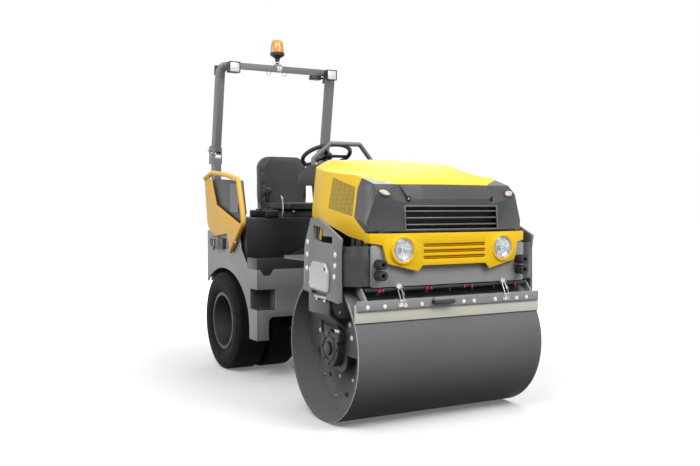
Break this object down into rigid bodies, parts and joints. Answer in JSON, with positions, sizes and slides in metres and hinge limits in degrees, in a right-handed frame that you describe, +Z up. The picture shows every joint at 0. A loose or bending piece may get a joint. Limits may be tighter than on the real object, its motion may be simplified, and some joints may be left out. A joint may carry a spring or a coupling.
{
  "type": "road roller",
  "caption": "Articulated combination road roller with a smooth steel drum in front, rubber tyres behind, an open operator's place, a tilting hood and a folding roll bar.",
  "frame": {"origin": "on the ground under the steering pivot, midway between the drum's axle and the rear axle", "axes": "+X forward to the drum, +Y to the operator's left, +Z up"},
  "size_m": [2.5, 1.31, 2.4368],
  "materials": {
    "hood_yellow": "gloss moulded yellow",
    "grille_yellow": "satin yellow mesh",
    "guard_yellow": "semi-gloss yellow",
    "frame_grey": "semi-gloss mid grey",
    "light_grey": "semi-gloss light grey",
    "dark_grey": "satin dark grey",
    "mask_grey": "fine-grained dark grey",
    "cover_silver": "satin silver grey",
    "drum_steel": "rolled steel, worn satin",
    "black_steel": "satin black",
    "pin_steel": "machined",
    "cast_engine": "painted cast iron",
    "buffer_rubber": "matt black",
    "tyre_rubber": "matt black",
    "rim_black": "satin black",
    "blade_cream": "smooth cream",
    "spray_black": "matt black",
    "console_black": "grained black",
    "seat_vinyl": "matt black vinyl",
    "lamp_lens": "clear lens",
    "beacon_amber": "amber lens",
    "lamp_red": "red lens"
  },
  "bodies": {
    "rear_chassis": {"rear_side_plates": "light_grey", "rear_front_wall": "light_grey", "rear_deck": "light_grey", "step_pockets": "dark_grey", "axle_carrier": "black_steel", "pivot_nose": "frame_grey", "steer_barrel": "black_steel", "foot_pan": "dark_grey", "seat_box": "console_black", "seat_cushion": "seat_vinyl", "seat_backrest": "seat_vinyl", "lever_console": "console_black", "steering_console": "console_black", "steering_wheel": "console_black", "grab_bar": "frame_grey", "side_guards": "guard_yellow", "side_panels": "dark_grey", "rops_posts": "frame_grey", "rear_lamps": "lamp_red", "tow_hitch": "dark_grey"},
    "steering_knuckle": {"steer_knuckle": "dark_grey"},
    "front_chassis": {"front_frame": "dark_grey", "front_side_plates": "frame_grey", "side_covers": "cover_silver", "front_panel": "frame_grey", "buffers": "buffer_rubber", "neck": "frame_grey", "bulkhead": "dark_grey", "engine": "cast_engine", "scraper_blade": "blade_cream", "scraper_clamp": "frame_grey", "spray_bar": "spray_black", "rear_scraper": "black_steel", "drum_carriers": "dark_grey", "drum_motors": "black_steel"},
    "drum": {"drum": "drum_steel"},
    "hood": {"hood_shell": "hood_yellow", "mask": "mask_grey", "side_grilles": "grille_yellow", "fascia": "hood_yellow", "headlights": "lamp_lens"},
    "roll_bar": {"rops_hoop": "frame_grey", "work_lights": "spray_black", "beacon": "beacon_amber"},
    "wheels_left": {"tyres_left": "tyre_rubber", "rims_left": "rim_black"},
    "wheels_right": {"tyres_right": "tyre_rubber", "rims_right": "rim_black"},
    "steer_rod": {"steer_rod": "pin_steel"}
  },
  "joints": [
    {"name": "steer", "type": "hinge", "parent": "rear_chassis", "child": "steering_knuckle", "pos_m": [0, 0, 0.484], "axis": [0, 0, 1], "range_deg": [-30, 30]},
    {"name": "oscillation", "type": "hinge", "parent": "steering_knuckle", "child": "front_chassis", "pos_m": [0.15, 0, 0.484], "axis": [1, 0, 0], "range_deg": [-8, 8]},
    {"name": "drum_spin", "type": "hinge", "parent": "front_chassis", "child": "drum", "pos_m": [0.84, 0, 0.395], "axis": [0, 1, 0], "continuous": true},
    {"name": "hood_tilt", "type": "hinge", "parent": "front_chassis", "child": "hood", "pos_m": [0.386, 0, 1.406], "axis": [0, -1, 0], "range_deg": [0, 50]},
    {"name": "roll_bar_fold", "type": "hinge", "parent": "rear_chassis", "child": "roll_bar", "pos_m": [-1.232, 0, 1.584], "axis": [0, -1, 0], "range_deg": [0, 110]},
    {"name": "wheels_left_spin", "type": "hinge", "parent": "rear_chassis", "child": "wheels_left", "pos_m": [-0.84, 0.3, 0.345], "axis": [0, 1, 0], "continuous": true},
    {"name": "wheels_right_spin", "type": "hinge", "parent": "rear_chassis", "child": "wheels_right", "pos_m": [-0.84, -0.3, 0.345], "axis": [0, 1, 0], "continuous": true},
    {"name": "rod_slide", "type": "slide", "parent": "rear_chassis", "child": "steer_rod", "axis": [1, 0, 0], "range_m": [-0.08, 0.08]}
  ],
  "couplings": [
    {"joint": "rod_slide", "follows": "steer", "m_per_rad": 0.15}
  ]
}
